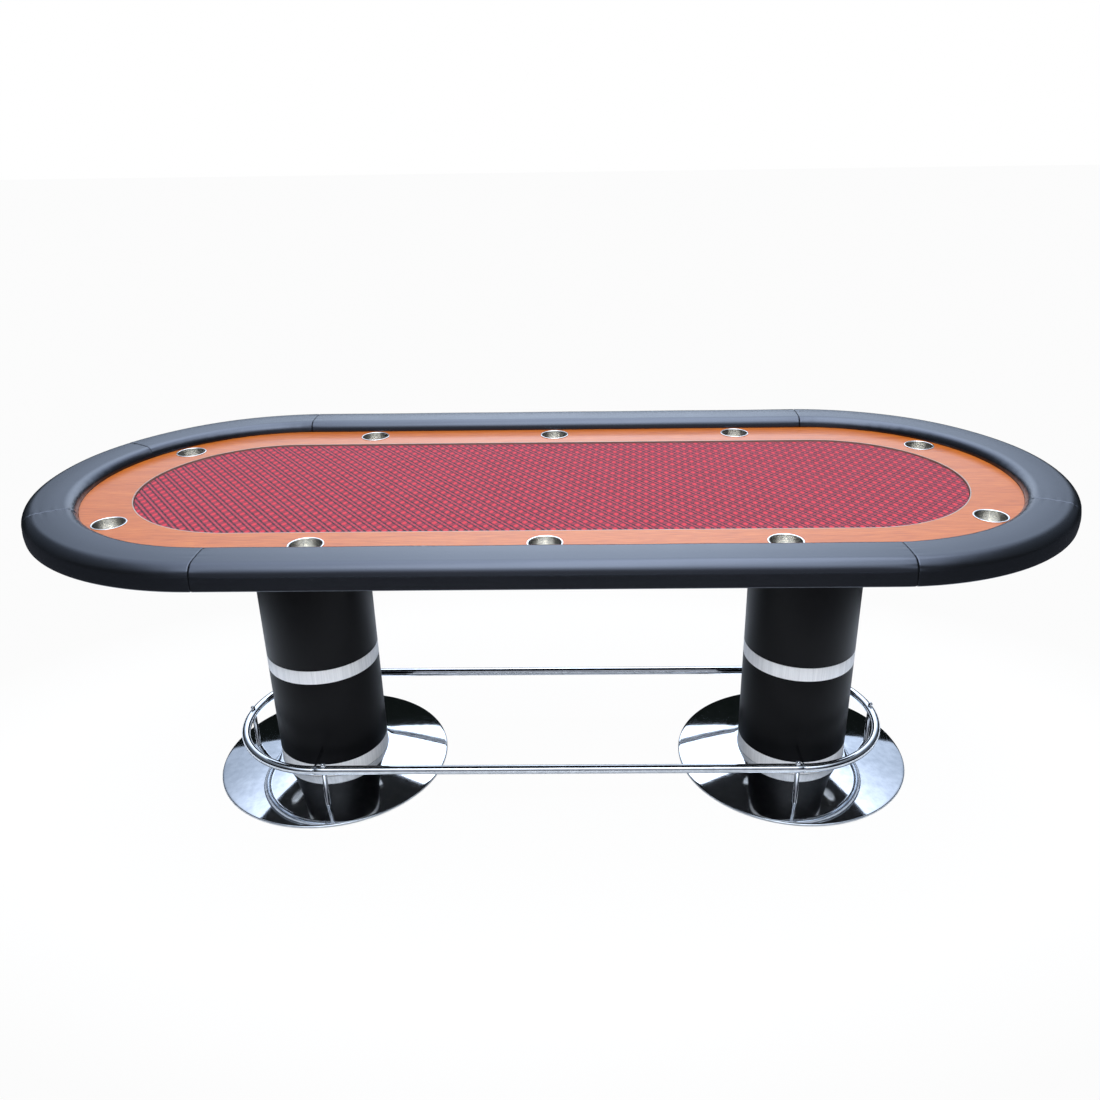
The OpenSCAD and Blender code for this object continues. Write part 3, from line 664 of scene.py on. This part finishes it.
def swept_tube(name, centres, directions, node):
    """A tube along centres with level directions across it: a point at angle a of the section is
    centre + R (cos a, sin a) in the (across, up) plane. The ends are eased over 1 mm."""
    a = np.linspace(0, 2 * np.pi, 48, endpoint=False)
    outer = np.full(len(centres), TUBE)
    outer[0] = outer[-1] = TUBE - 0.0007
    r = outer[:, None, None]
    across = directions[:, None, :] * np.cos(a)[None, :, None]
    rise = np.array([0, 0, 1.0]) * np.sin(a)[None, :, None]
    shell = centres[:, None, :] + r * (across + rise)
    bore = centres[[-1, 0], None, :] + (TUBE - 0.0015) * (across + rise)[[-1, 0]]
    points = np.concatenate([shell, bore])
    piece = make_mesh(name, points, grid_faces(len(points), 48, wrap_rows=True, wrap_columns=True), chrome,
                      "table")
    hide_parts(node)
    return piece


left_x, right_x = -0.587, 0.609
JOINT = 0.0003
for side, y_side in (("front", -RAIL_LINE), ("back", RAIL_LINE)):
    inside = np.linspace(left_x + JOINT + 0.001, right_x - JOINT - 0.001, 60)
    xs = np.concatenate([[left_x + JOINT], inside, [right_x - JOINT]])
    centres = np.stack([xs, np.full_like(xs, y_side), np.full_like(xs, RAIL_Z)], -1)
    swept_tube("foot_tube_" + side, centres, np.tile([0.0, 1.0, 0.0], (len(xs), 1)), "foot_rail_" + side)
for side, axis_x, middle in (("left", left_x, 180), ("right", right_x, 0)):
    tip, eased = math.degrees(JOINT / RAIL_LINE), math.degrees((JOINT + 0.001) / RAIL_LINE)
    along = np.concatenate([[tip - 90], np.linspace(eased - 90, 90 - eased, 110), [90 - tip]])
    a = np.radians(middle + along)
    out = np.stack([np.cos(a), np.sin(a), np.zeros_like(a)], -1)
    centres = np.array([axis_x, 0, RAIL_Z]) + RAIL_LINE * out
    swept_tube("foot_tube_" + side + "_bend", centres, out, "foot_rail_" + side + "_bend")

# A thin pressed collar hides each of the four joints
COLLAR = 0.0016
bulge = np.linspace(-1.4, 1.4, 9)
collar = np.concatenate([
    [(-COLLAR, TUBE - 0.0004)],
    np.stack([COLLAR * np.sin(bulge), TUBE + 0.0009 * np.cos(bulge)], -1),
    [(COLLAR, TUBE - 0.0004)],
])
turn = np.linspace(0, 2 * np.pi, 48, endpoint=False)
for side, joint_x in (("left", left_x), ("right", right_x)):
    for face, y_side in (("front", -RAIL_LINE), ("back", RAIL_LINE)):
        r = collar[:, 1:]
        points = np.stack([np.broadcast_to(joint_x + collar[:, :1], (len(collar), 48)),
                           y_side + r * np.cos(turn), RAIL_Z + r * np.sin(turn)], -1)
        faces = grid_faces(len(collar), 48, wrap_rows=True, wrap_columns=True)
        make_mesh("foot_collar_" + side + "_" + face, points, faces, chrome, "table")

tube_top = RAIL_Z + TUBE
nut_profile = np.concatenate([
    [(0, tube_top - 0.0008), (0.0062, tube_top - 0.0008), (0.0064, tube_top + 0.0008)],
    [(0.006, tube_top + 0.0012)],
    arc((0, tube_top + 0.005), 0.006, 0, 90, 12),
])
END_POST = math.radians(6)
end_reach, end_y = RAIL_LINE * math.cos(END_POST), RAIL_LINE * math.sin(END_POST)
SIDE_POSTS = (-0.564, 0.594)
post_spots = [(x, y) for x in SIDE_POSTS for y in (-RAIL_LINE, RAIL_LINE)]
post_spots += [(left_x - end_reach, end_y), (right_x + end_reach, end_y)]
for i, spot in enumerate(post_spots, 1):
    axis_x = PEDESTALS["left" if spot[0] < 0 else "right"]
    # The cone rises 29 mm over its 156 mm of run, and the post stands 2 mm above its middle line
    run = RIM - math.hypot(spot[0] - axis_x, spot[1])
    seat = 0.006 + run * 0.029 / 0.156 + 0.002
    head = RAIL_Z - TUBE - 0.0002
    post_profile = np.array([(0.0042, seat), (0.0068, seat), (0.0068, seat + 0.0015), (0.006, seat + 0.0023),
                             (0.006, head), (0.0042, head)])
    post = revolve("foot_post_" + str(i), post_profile, spot, chrome, "table", 40)
    nut = revolve("foot_cap_nut_" + str(i), nut_profile, spot, chrome, "table", 40)
    if i == 1:
        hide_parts("foot_rail_posts")
        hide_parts("foot_rail_cap_nuts")


# ---------------------------------------------------------------- floor and lights
# A daylight studio: a cool glass roof that runs from the back horizon to well over the table, a
# dimmer front, and a floor that is pale to the camera but gives little light back to the table.

floor_mesh = bpy.data.meshes.new("floor")
floor_mesh.from_pydata([(-30, -30, 0), (30, -30, 0), (30, 30, 0), (-30, 30, 0)], [], [(0, 1, 2, 3)])
floor = bpy.data.objects.new("floor", floor_mesh)
bpy.context.scene.collection.objects.link(floor)
# Matt backdrop paper: plain white to the eye
floor_paper, tree, shader = new_material("studio_paper", Roughness=0.9, Specular_IOR_Level=0.0)
place = add(tree, "TexCoord").outputs["Object"]
x, y, z = add(tree, "SeparateXYZ", place).outputs
x_share = add(tree, "Math", x, 1.9, operation="DIVIDE")
y_share = add(tree, "Math", y, 1.1, operation="DIVIDE")
oval = add(tree, "CombineXYZ", x_share, y_share)
away = add(tree, "VectorMath", oval, operation="LENGTH").outputs["Value"]
wire(tree, shader, {"Base Color": add(tree, "ValToRGB", away, stops=[(0.75, "f4f4f4"), (1.0, "38383a")])})
direct = add(tree, "LightPath")
glow = add(tree, "Emission", {"Color": linear("ffffff"), "Strength": 1.0})
share = add(tree, "Math", direct, 0.97, operation="MULTIPLY")
seen = add(tree, "MixShader", share, shader, glow)
tree.links.new(seen.outputs[0], tree.nodes["Material Output"].inputs["Surface"])
floor_mesh.materials.append(floor_paper)

# A dark hedge-high screen behind the table keeps the low mirrors black; the camera doesn't see it
screen_mesh = bpy.data.meshes.new("screen")
screen_mesh.from_pydata([(-6, 2.6, 0), (6, 2.6, 0), (6, 2.6, 1.2), (-6, 2.6, 1.2)], [], [(0, 1, 2, 3)])
screen = bpy.data.objects.new("screen", screen_mesh)
bpy.context.scene.collection.objects.link(screen)
# Dyed cotton: a dull black-green
screen_cloth, tree, shader = new_material("dark_screen_cloth", Roughness=0.9, Specular_IOR_Level=0.0)
shader.inputs["Base Color"].default_value = linear("1c201d")
screen_mesh.materials.append(screen_cloth)
screen.visible_camera = False

world = bpy.data.worlds.new("studio")
world.use_nodes = True
bpy.context.scene.world = world
tree = world.node_tree
direction = add(tree, "TexCoord").outputs["Generated"]
x, y, z = add(tree, "SeparateXYZ", direction).outputs
# 0 at the back horizon, 0.5 overhead, 1 at the front horizon
sweep = add(tree, "Math", z, y, operation="ARCTAN2")
turned = add(tree, "Math", sweep, math.pi, operation="DIVIDE")
roof = add(tree, "ValToRGB", turned, stops=[
    (0.0, "8e98a4"), (0.095, "a8b3c2"), (0.20, "b2bece"), (0.34, "dfeafb"), (0.64, "ebf4ff"),
    (0.72, "c0c8d2"), (0.775, "8f949c"), (0.82, "505258"), (1.0, "45474b")])
# Darker to the far left and right
aside = add(tree, "Math", x, operation="ABSOLUTE")
sideways = add(tree, "ValToRGB", aside,
               stops=[(0.12, "ffffff"), (0.42, "b4b6ba"), (0.65, "454749"), (1.0, "1e1f20")])
layered = add(tree, "Mix", {"Factor": 1.0, 6: roof, 7: sideways}, data_type="RGBA", blend_type="MULTIPLY")
direct = add(tree, "LightPath")
sky = add(tree, "Background", {"Color": layered.outputs[2], "Strength": 4.4})
backdrop = tree.nodes["Background"]
backdrop.inputs["Color"].default_value = linear("ffffff")
backdrop.inputs["Strength"].default_value = 1.0
shown = add(tree, "MixShader", {0: direct, 1: sky, 2: backdrop.outputs[0]})
tree.links.new(shown.outputs[0], tree.nodes["World Output"].inputs["Surface"])


def softbox(name, place, target, size, radiance, tint, mirrored=True):
    """A rectangular lamp facing target. radiance is what a mirror shows of it."""
    lamp = bpy.data.lights.new(name, "AREA")
    lamp.shape = "RECTANGLE"
    lamp.size, lamp.size_y = size
    lamp.energy = radiance * math.pi * size[0] * size[1]
    lamp.color = linear(tint)[:3]
    thing = bpy.data.objects.new(name, lamp)
    bpy.context.scene.collection.objects.link(thing)
    thing.location = place
    thing.rotation_euler = (Vector(target) - Vector(place)).to_track_quat("-Z", "Y").to_euler()
    thing.visible_camera = False
    thing.visible_glossy = mirrored
    return thing


softbox("top_softbox", (0.4, -0.3, 3.4), (0, 0, 0.8), (4.0, 1.6), 1.0, "f2f7ff")
# Low fill that whitens the pedestals' bands
softbox("low_fill", (0, -2.3, 0.35), (0, 0, 0.3), (2.6, 0.4), 12.0, "ffffff", mirrored=False)
bpy.context.scene.view_settings.view_transform = "Standard"
